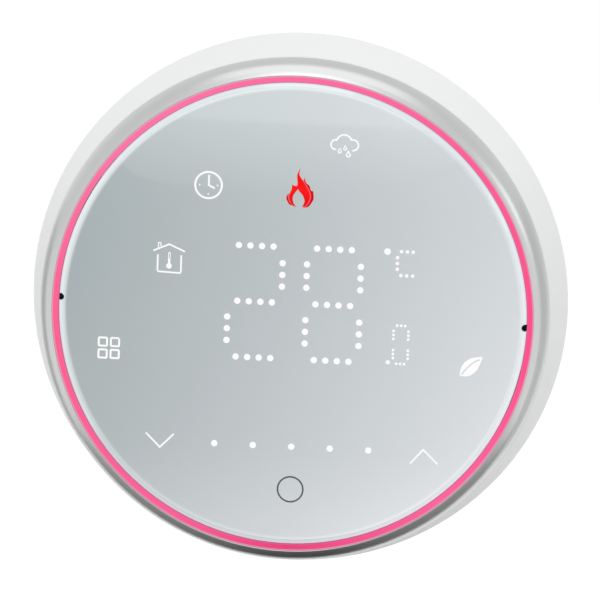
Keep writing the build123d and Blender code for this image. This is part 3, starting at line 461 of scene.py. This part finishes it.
looks = {
    "glass": glass_look(),
    "light": ring_look(),
    "bezel": bezel_look(),
    "shell": moulded("shell_look", "E4E5E5", roughness=0.38, grain=0.03, shade=0.012),
    "mask": moulded("mask_look", "080809", roughness=0.6, grain=0.1, shade=0.2, shine=0.08),
    "film": moulded("film_look", "E9E9E4", roughness=0.5, grain=0.05),
    "adhesive": moulded("adhesive_look", "2A2A2B", roughness=0.7, grain=0.2, shade=0.2),
    "board": board_look("board_look", "0E4A26", "1C6B38"),
    "led": led_look(),
    "spring": metal("spring_look", "C9C5B8", roughness=0.25),
    "shield": metal("shield_look", "BFC1C3", roughness=0.3, stretch=(1, 8, 8)),
    "chip": chip_look(),
    "bead": moulded("bead_look", "1A1A1F", roughness=0.2, grain=0.1, shade=0.2, coat=0.6),
    "connector": moulded("connector_look", "1B1B1D", roughness=0.5, grain=0.12, shade=0.15),
    "screw": metal("screw_look", "B8B9BA", roughness=0.28),
    "plate": moulded("plate_look", "E4E4E2", roughness=0.55, grain=0.12, shade=0.03),
    "box": moulded("box_look", "DCDCD9", roughness=0.55, grain=0.12, shade=0.03),
    "ferrite": moulded("ferrite_look", "2B2B2D", roughness=0.65, grain=0.3, shade=0.25),
    "tape": tape_look(),
    "can": can_look(),
    "film_cap": moulded("film_cap_look", "D8B02C", roughness=0.35, grain=0.05, shade=0.06, coat=0.3),
    "varistor": varistor_look(),
    "fuse": fuse_look(),
    "relay": moulded("relay_look", "1D3F86", roughness=0.28, grain=0.04, shade=0.08, coat=0.4),
    "coil": coil_look(),
    "steel": metal("steel_look", "B0B1B3", roughness=0.3, stretch=(1, 6, 6)),
    "contact": metal("contact_look", "D9BC76", roughness=0.25),
    "terminal": moulded("terminal_look", "1E6B3C", roughness=0.45, grain=0.1, shade=0.08),
    "terminal_steel": passivated_look(),
}
for subpart in frame["record"]["subparts"]:
    node = frame["nodes"][subpart["node"]]
    node.data.materials.clear()
    node.data.materials.append(looks[subpart["material_slot"]])


# ---- Flat outlines, in millimetres from the centre of the glass --------------------------------------------
def arc(centre, radius, start, stop, steps=24):
    """Points along an arc, angles in degrees."""
    angles = [radians(start + (stop - start) * i / steps) for i in range(steps + 1)]
    return [(centre[0] + radius * cos(a), centre[1] + radius * sin(a)) for a in angles]


def disc(centre, radius, steps=20):
    return [arc(centre, radius, 0, 360, steps)[:-1]]


def ring(centre, radius, width, steps=64):
    outer = arc(centre, radius + width / 2, 0, 360, steps)[:-1]
    inner = arc(centre, radius - width / 2, 0, 360, steps)[:-1]
    return [outer, inner]


def offset(points, distance, closed):
    """The line that runs beside a chain of points at a distance to its left, mitred at each corner."""
    moved = []
    count = len(points)
    for i in range(count):
        here = Vector(points[i])
        before = Vector(points[i - 1]) if closed or i > 0 else None
        after = Vector(points[(i + 1) % count]) if closed or i < count - 1 else None
        steps = [(b - a).normalized() for a, b in ((before, here), (here, after)) if a and b]
        normals = [Vector((-d.y, d.x)) for d in steps]
        bisector = sum(normals, Vector((0, 0))).normalized()
        moved.append(here + bisector * (distance / max(bisector.dot(normals[0]), 0.35)))
    return [(p.x, p.y) for p in moved]


def stroke(points, width, closed=False, cap_steps=8):
    """Outline of a line of even width through the points, with round ends unless it is closed."""
    if closed:
        return [offset(points, width / 2, True), offset(points, -width / 2, True)]
    left = offset(points, width / 2, False)
    right = offset(points, -width / 2, False)[::-1]
    ends = []
    for tip, inside in ((points[-1], points[-2]), (points[0], points[1])):
        heading = degrees(atan2(tip[1] - inside[1], tip[0] - inside[0]))
        ends.append(arc(tip, width / 2, heading + 90, heading - 90, cap_steps)[1:-1])
    return [left + ends[0] + right + ends[1]]


def rounded_box(centre, width, height, radius, steps=5):
    """Corner points of a rounded rectangle, counter-clockwise from its upper right corner."""
    points = []
    for i, (sx, sz) in enumerate(((1, 1), (-1, 1), (-1, -1), (1, -1))):
        corner = (centre[0] + sx * (width / 2 - radius), centre[1] + sz * (height / 2 - radius))
        points += arc(corner, radius, 90 * i, 90 * i + 90, steps)
    return points


def smooth_outline(points, steps=6):
    """Closed curve through (x, z) points. A third value of 1 marks a point where the curve is sharp."""
    count = len(points)
    sharp = [len(p) > 2 and p[2] == 1 for p in points]
    spots = [Vector(p[:2]) for p in points]
    out = []
    for i in range(count):
        a, b = spots[i], spots[(i + 1) % count]
        before, after = spots[i - 1], spots[(i + 2) % count]
        start = (b - a) if sharp[i] else (b - before) / 2
        stop = (b - a) if sharp[(i + 1) % count] else (after - a) / 2
        for k in range(steps):
            t = k / steps
            point = (
                a * (2 * t ** 3 - 3 * t ** 2 + 1) + start * (t ** 3 - 2 * t ** 2 + t)
                + b * (3 * t ** 2 - 2 * t ** 3) + stop * (t ** 3 - t ** 2)
            )
            out.append((point.x, point.y))
    return out


def moved_by(loops, shift):
    return [[(x + shift[0], z + shift[1]) for x, z in loop] for loop in loops]


def flat_piece(name, shapes, look, proud=LEGEND_PROUD):
    """A thin layer on the front. Each shape is a list of loops: an outline, then its holes."""
    low = GLASS_FRONT - LEGEND_SUNK
    high = GLASS_FRONT + proud
    curve = bpy.data.curves.new(name, "CURVE")
    curve.dimensions = "2D"
    curve.fill_mode = "BOTH"
    curve.extrude = (high - low) / 2 * MM
    for loops in shapes:
        for loop in loops:
            spline = curve.splines.new("POLY")
            spline.points.add(len(loop) - 1)
            for point, (x, z) in zip(spline.points, loop):
                point.co = (x * MM, (z + LEGEND_LIFT) * MM, 0.0, 1.0)
            spline.use_cyclic_u = True
    holder = bpy.data.objects.new(name + ".outline", curve)
    bpy.context.scene.collection.objects.link(holder)
    bpy.context.view_layer.update()
    mesh = bpy.data.meshes.new_from_object(holder)
    bpy.data.objects.remove(holder)
    mesh.name = name
    mesh.transform(Matrix.Translation((0, -(low + high) / 2 * MM, 0)) @ Matrix.Rotation(pi / 2, 4, "X"))
    mesh.materials.clear()
    mesh.materials.append(look)
    piece = bpy.data.objects.new(name, mesh)
    bpy.context.scene.collection.objects.link(piece)
    weld = piece.modifiers.new("weld", "WELD")
    weld.merge_threshold = 1e-7
    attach(piece, "front_unit")
    return piece


def digit_dots(centre_x, centre_z, column, row, step_x, step_z, across, radius, bars="abcdefg"):
    """Dots of a seven-bar digit. column and row are the distances between its bars."""
    spots = []
    for name, z in (("a", row), ("g", 0.0), ("d", -row)):
        if name in bars:
            spots += [(centre_x + (i - (across - 1) / 2) * step_x, centre_z + z) for i in range(across)]
    sides = (("f", -1, 1), ("b", 1, 1), ("e", -1, -1), ("c", 1, -1))
    for name, sx, sz in sides:
        if name in bars:
            spots += [
                (centre_x + sx * column / 2, centre_z + sz * row / 2 + i * step_z) for i in (-1, 0, 1)
            ]
    return [disc(spot, radius) for spot in spots]


# ---- Lit legends -------------------------------------------------------------------------------------------
white = legend_look("legend_white", "FFFFFF", glow=1.02)
grey = legend_look("legend_grey", "5C5E5E")
red = flame_look()
pale_red = legend_look("legend_pale_red", "F2656B")
deep_red = legend_look("legend_deep_red", "D6101C")

big = {"column": 9.64, "row": 10.14, "step_x": 2.07, "step_z": 2.13, "across": 4, "radius": 0.58}
flat_piece("digit_tens", digit_dots(TENS_X, DIGIT_Z, bars="abged", **big), white)
flat_piece("digit_units", digit_dots(UNITS_X, DIGIT_Z, **big), white)

letter_x, letter_z = UNIT_LETTER
unit_spots = [(letter_x + i * 1.05, letter_z + side * 2.17) for side in (-1, 1) for i in (-1, 0, 1)]
unit_spots += [(letter_x - 1.73, letter_z + i * 1.04) for i in (-1, 0, 1)]
unit_shapes = [disc(spot, 0.32) for spot in unit_spots] + [disc(UNIT_DEGREE, 0.6)]
flat_piece("unit_dots", unit_shapes, white)

small = {"column": 2.66, "row": 3.47, "step_x": 0.72, "step_z": 0.72, "across": 3, "radius": 0.25}
small_shapes = digit_dots(*SMALL_DIGIT, bars="abcdef", **small) + [disc(SMALL_POINT, 0.39)]
flat_piece("small_digit", small_shapes, white)

slider = [disc((SLIDER_X + (i - 2) * SLIDER_STEP, SLIDER_Z), 0.58) for i in range(5)]
flat_piece("slider_dots", slider, white)

clock = [
    ring(ICON_CLOCK, 2.38, 0.36),
    moved_by(stroke([(0.05, 1.75), (0.06, 0.0), (1.02, -0.5)], 0.32), ICON_CLOCK),
    *[disc((ICON_CLOCK[0] + x, ICON_CLOCK[1] + z), 0.15) for x, z in ((1.6, 0), (0, -1.6), (-1.6, 0))],
]
flat_piece("icon_clock", clock, white)

# The flame has three layers: a pale halo, the red body with its open heart, and deep red tongues beside it.
flame_tip = [(-0.1, 3.7, 1), (-0.6, 2.6), (-0.62, 1.7), (-0.54, 0.85), (-0.75, 0.42), (-1.5, 0.62, 1)]
flame_heart = [
    (-0.65, -3.36, 1), (-1.12, -2.75), (-1.34, -1.95), (-1.22, -1.2), (-0.85, -0.65), (-0.43, -0.08, 1),
    (-0.12, -0.58), (0.35, -1.08), (0.67, -1.72), (0.78, -2.35), (0.4, -3.28, 1),
]
flame_halo = smooth_outline(
    flame_tip
    + [(-1.57, -0.15), (-1.9, -0.95), (-2.28, -1.1, 1), (-2.48, -1.7), (-2.34, -2.3), (-1.85, -2.98)]
    + flame_heart
    + [
        (0.62, -3.45, 1), (1.52, -3.2), (2.08, -2.45), (2.42, -1.66), (2.28, -0.3, 1), (1.9, -0.25),
        (1.58, 0.6), (1.12, 0.98), (0.88, 1.35), (0.7, 2.1, 1), (0.5, 1.5), (-0.05, 2.15), (-0.3, 2.7),
    ]
)
flame_body = smooth_outline(
    flame_tip
    + [(-1.57, -0.15), (-1.88, -0.95), (-1.97, -1.65), (-1.78, -2.35), (-1.4, -2.9)]
    + flame_heart
    + [
        (1.0, -3.02), (1.5, -2.25), (1.72, -1.4), (1.53, -0.5), (1.08, 0.32), (0.58, 1.14), (-0.03, 1.95),
        (-0.28, 2.6),
    ]
)
right_tongue = smooth_outline([
    (0.68, 2.05, 1), (0.66, 1.38), (1.2, 0.5), (1.74, -0.5), (1.93, -1.4), (1.71, -2.3), (1.2, -3.06),
    (0.62, -3.42, 1), (1.5, -3.18), (2.05, -2.45), (2.38, -1.66), (2.25, -0.35, 1), (1.88, -0.25),
    (1.55, 0.6), (1.1, 0.95), (0.84, 1.32),
])
left_tongue = smooth_outline([
    (-2.28, -1.15, 1), (-2.13, -1.88), (-1.91, -2.5), (-1.3, -3.1, 1), (-1.85, -2.95), (-2.33, -2.28),
    (-2.46, -1.7),
])
flame_parts = (
    ("icon_flame_halo", [[flame_halo]], pale_red, 0.015),
    ("icon_flame", [[flame_body]], red, 0.03),
    ("icon_flame_tongues", [[right_tongue], [left_tongue]], deep_red, 0.03),
)
for name, shapes, look, proud in flame_parts:
    placed = [moved_by(loops, ICON_FLAME) for loops in shapes]
    flat_piece(name, placed, look, proud)

puffs = arc((-1.62, 0.1), 0.88, 268, 78, 14)
puffs += arc((-0.14, 0.6), 1.34, 164, 20, 14)
puffs += arc((1.44, 0.12), 0.98, 109, -90, 14)
cloud = [moved_by(stroke(puffs, 0.3), ICON_CLOUD)]
for drop_x, drop_z, size in ((-0.9, -0.95, 0.92), (0.05, -0.4, 0.88), (0.65, -1.5, 1.12)):
    tear = smooth_outline([
        (0, 0.62, 1), (-0.27, 0.12), (-0.42, -0.2), (-0.24, -0.5), (0.0, -0.58), (0.24, -0.5), (0.42, -0.2),
        (0.27, 0.12),
    ])
    core = [(x * 0.42, (z + 0.14) * 0.5 - 0.14) for x, z in tear]
    shape = [[(x * size, z * size) for x, z in loop] for loop in (tear, core)]
    cloud.append(moved_by(moved_by(shape, (drop_x, drop_z)), ICON_CLOUD))
flat_piece("icon_cloud", cloud, white)

roof = stroke([(-2.8, 1.42), (-0.1, 2.64), (2.64, 1.46)], 0.3)
walls = [(-2.1, 0.62), (-2.1, -2.08), *arc((-1.8, -2.08), 0.3, 180, 270, 4)[1:]]
walls += [*arc((1.8, -2.2), 0.3, 270, 360, 4), (2.1, 0.62)]
chimney = stroke([(-2.05, 1.95), (-2.02, 2.85), (-1.65, 2.85), (-1.55, 2.3)], 0.2)
thermometer = arc((-0.05, -1.3), 0.5, 114, 426, 20) + arc((-0.03, 1.0), 0.22, 0, 180, 8)
bore = stroke([(-0.04, 0.1), (-0.03, 0.95)], 0.15)
house = [roof, stroke(walls, 0.3), chimney, [thermometer, bore[0]]]
flat_piece("icon_house", [moved_by(loops, ICON_HOUSE) for loops in house], white)

leaf_outline = smooth_outline([
    (2.02, 1.78, 1), (1.2, 1.78), (0.1, 1.55), (-0.9, 0.95), (-1.65, 0.0), (-1.95, -1.0), (-1.98, -1.7, 1),
    (-1.55, -1.8), (-0.6, -1.78), (0.3, -1.35), (1.1, -0.55), (1.55, 0.4), (1.85, 1.2),
])
vein = stroke([(-1.62, -1.5), (-1.2, -0.85), (-0.6, -0.2), (0.1, 0.5), (0.8, 1.0), (1.5, 1.3)], 0.25)
flat_piece("icon_leaf", [moved_by([leaf_outline, vein[0]], ICON_LEAF)], white)

menu = []
for sx in (-1, 1):
    for sz in (-1, 1):
        square = rounded_box((sx * 1.085, sz * 1.085), 1.48, 1.48, 0.18)
        if (sx, sz) == (1, 1):
            menu.append(stroke(square[5:] + [square[0]], 0.33))
        else:
            menu.append(stroke(square, 0.35, closed=True))
flat_piece("key_menu", [moved_by(loops, KEY_MENU) for loops in menu], white)

down = stroke([(-25.54, -23.06), (-23.05, -25.52), (-20.68, -23.08)], 0.3)
flat_piece("key_down", [down], white)
up = stroke([(21.92, -26.29), (24.12, -23.74), (26.66, -26.17)], 0.3)
flat_piece("key_up", [up], white)
flat_piece("key_power", [ring(KEY_POWER, 2.27, 0.28)], grey)


# ---- Floor, light and camera -------------------------------------------------------------------------------
def sheet(name, corners, material):
    """A flat stage card with any number of corners."""
    mesh = bpy.data.meshes.new(name)
    mesh.from_pydata([tuple(c) for c in corners], [], [tuple(range(len(corners)))])
    mesh.materials.append(material)
    made = bpy.data.objects.new(name, mesh)
    bpy.context.scene.collection.objects.link(made)
    return made


floor_shader = Shader("floor_look")
floor_tone = floor_shader.mix(floor_shader.noise(3.0, 2.0), "F4F4F4", "FAFAFA")
floor_look = floor_shader.principled(
    Base_Color=floor_tone, Roughness=0.9, Emission_Color=(1, 1, 1, 1), Emission_Strength=0.2
)
FLOOR = -0.30
sheet("floor", [(-8, -8, FLOOR), (8, -8, FLOOR), (8, 8, FLOOR), (-8, 8, FLOOR)], floor_look)

flag_shader = Shader("flag_look")
flag_x = flag_shader.maths("ABSOLUTE", flag_shader.axes()[0])
flag_tone = flag_shader.ramp(
    flag_shader.span(flag_x, 10.0, 120.0), [(0.0, "484848"), (0.4, "8C8C8C"), (1.0, "A4A4A4")]
)
flag_look = flag_shader.principled(Base_Color=flag_tone, Roughness=0.9)
side_shader = Shader("side_card_look")
side_x = side_shader.axes()[0]
side_tone = side_shader.ramp(side_shader.span(side_x, -10.0, 10.0), [(0.0, "CCCCCC"), (1.0, "E2E2E2")])
side_drift = side_shader.maths("MULTIPLY", side_shader.noise(30.0, 2.0), 0.1)
side_tone = side_shader.mix(side_drift, side_tone, "FFFFFF")
side_look = side_shader.principled(Base_Color=side_tone, Roughness=0.9)
# The flag darkens what the bezel's foot mirrors, and the side cards shade the body from behind.
cards = (
    (
        "flag", flag_look,
        [(-0.14, -0.17, -0.12), (0.14, -0.17, -0.12), (0.14, 0.03, -0.105), (-0.14, 0.03, -0.105)],
    ),
    (
        "side_card_right", side_look,
        [(0.28, 0, -0.28), (0.28, 0.45, -0.28), (0.28, 0.45, 0.10), (0.28, 0, 0.10)],
    ),
    (
        "side_card_left", side_look,
        [(-0.32, 0.05, -0.28), (-0.32, 0.45, -0.28), (-0.32, 0.45, 0.02), (-0.32, 0.05, 0.02)],
    ),
)
for name, look, corners in cards:
    card = sheet(name, corners, look)
    card.visible_camera = False

world = bpy.data.worlds.new("studio")
bpy.context.scene.world = world
world.use_nodes = True
world_tree = world.node_tree
world_tree.nodes.clear()
sky = world_tree.nodes.new("ShaderNodeBackground")
sky.inputs["Color"].default_value = (1.0, 1.0, 1.0, 1.0)
heading = world_tree.nodes.new("ShaderNodeSeparateXYZ")
world_tree.links.new(world_tree.nodes.new("ShaderNodeTexCoord").outputs["Generated"], heading.inputs[0])
# Dimmer towards the zenith. Below the horizon it is as white as the floor, so the floor's end does not show.
strength = world_tree.nodes.new("ShaderNodeMath")
strength.operation = "MULTIPLY"
for socket, (low, high, start, stop) in enumerate(((-0.04, -0.01, 1.06, 0.94), (0.0, 1.0, 1.0, 0.87))):
    fade = world_tree.nodes.new("ShaderNodeMapRange")
    fade.inputs["From Min"].default_value = low
    fade.inputs["From Max"].default_value = high
    fade.inputs["To Min"].default_value = start
    fade.inputs["To Max"].default_value = stop
    world_tree.links.new(heading.outputs["Z"], fade.inputs["Value"])
    world_tree.links.new(fade.outputs[0], strength.inputs[socket])
world_tree.links.new(strength.outputs[0], sky.inputs["Strength"])
world_output = world_tree.nodes.new("ShaderNodeOutputWorld")
world_tree.links.new(sky.outputs[0], world_output.inputs[0])


def soft_light(name, place, width, height, radiance):
    """A soft box aimed at the origin. radiance sets how bright it looks, whatever its size."""
    lamp = bpy.data.lights.new(name, "AREA")
    lamp.shape = "RECTANGLE"
    lamp.size = width
    lamp.size_y = height
    lamp.energy = radiance * pi * width * height
    made = bpy.data.objects.new(name, lamp)
    made.location = place
    made.rotation_euler = (-Vector(place)).to_track_quat("-Z", "Y").to_euler()
    made.visible_camera = False
    bpy.context.scene.collection.objects.link(made)


soft_light("zenith", (0.0, -0.05, 0.85), 0.9, 1.0, 0.62)
soft_light("front_top", (-0.04, -0.66, 0.56), 0.34, 0.42, 1.25)
soft_light("right_side", (0.66, -0.24, 0.26), 0.5, 0.22, 0.75)

# The camera stands a little to the right and above, rolled slightly, and far off with a long lens.
AROUND = radians(4.8)
ABOVE = radians(11.3)
ROLL = radians(1.75)
CAMERA_DISTANCE = 4.0
FOCAL_LENGTH = 1346.3
AIM_DEPTH = 17.4
AIM_RIGHT = 1.33
AIM_UP = 2.47
back = Vector((sin(AROUND) * cos(ABOVE), -cos(AROUND) * cos(ABOVE), sin(ABOVE)))
right = Vector((0, 0, 1)).cross(back).normalized()
up_axis = back.cross(right)
turn = Matrix.Rotation(ROLL, 3, back)
right = turn @ right
up_axis = turn @ up_axis
aim = Vector((0, -AIM_DEPTH * MM, 0)) + right * AIM_RIGHT * MM + up_axis * AIM_UP * MM
camera_data = bpy.data.cameras.new("camera")
camera_data.lens = FOCAL_LENGTH
camera_data.sensor_width = 36.0
camera_data.clip_start = 0.05
camera_data.clip_end = 80.0
camera = bpy.data.objects.new("camera", camera_data)
bpy.context.scene.collection.objects.link(camera)
place = aim + back * CAMERA_DISTANCE
camera.matrix_world = Matrix((
    (right.x, up_axis.x, back.x, place.x),
    (right.y, up_axis.y, back.y, place.y),
    (right.z, up_axis.z, back.z, place.z),
    (0, 0, 0, 1),
))
bpy.context.scene.camera = camera


# ---- Soft band across the top of the glass: a lit card in front, seen only in reflections ------------------
def mirrored(x, z, depth):
    """Point at a depth that the camera sees in the glass at (x, z)."""
    seen_from = Vector((place.x, -2 * GLASS_FRONT * MM - place.y, place.z))
    on_glass = Vector((x * MM, -GLASS_FRONT * MM, z * MM))
    ray = on_glass - seen_from
    return seen_from + ray * ((-depth * MM - seen_from.y) / ray.y)


CARD_DEPTH = 290.0
band_shader = Shader("band_look")
band_x, _, band_z = band_shader.axes()
band_centre = mirrored(0, 30, CARD_DEPTH).x / MM
band_low = mirrored(0, 22, CARD_DEPTH).z / MM
band_step = mirrored(0, 34.6, CARD_DEPTH).z / MM
climb = band_shader.span(band_z, band_low, band_step)
half_blur = 0.7
top = band_shader.span(band_z, band_step - half_blur, band_step + half_blur, smooth=True)
lean = band_shader.maths("SUBTRACT", band_x, band_centre)
glow = band_shader.maths("MULTIPLY_ADD", climb, 1.7, c=1.05)
glow = band_shader.maths("MULTIPLY_ADD", lean, -0.016, c=glow)
glow = band_shader.maths("MULTIPLY_ADD", top, 1.1, c=glow)
ripple = band_shader.maths("MULTIPLY_ADD", band_shader.noise(30.0, 1.0), 0.05, c=0.975)
band_look = band_shader.emission((1.0, 1.0, 1.0, 1.0), band_shader.maths("MULTIPLY", glow, ripple))
edge = [(-33, 60), (-33, 30), (-32, 26.5), (-29, 24), (-24, 22.6), (-12, 22.2), (0, 22.4), (10, 23.2)]
edge += [(18, 24.6), (24, 26.6), (29, 29.5), (33, 34), (35, 40), (35, 60)]
band = sheet("band", [mirrored(x, z, CARD_DEPTH) for x, z in edge], band_look)
band.visible_camera = False
band.visible_diffuse = False
band.visible_shadow = False

bpy.context.scene.view_settings.view_transform = "Standard"
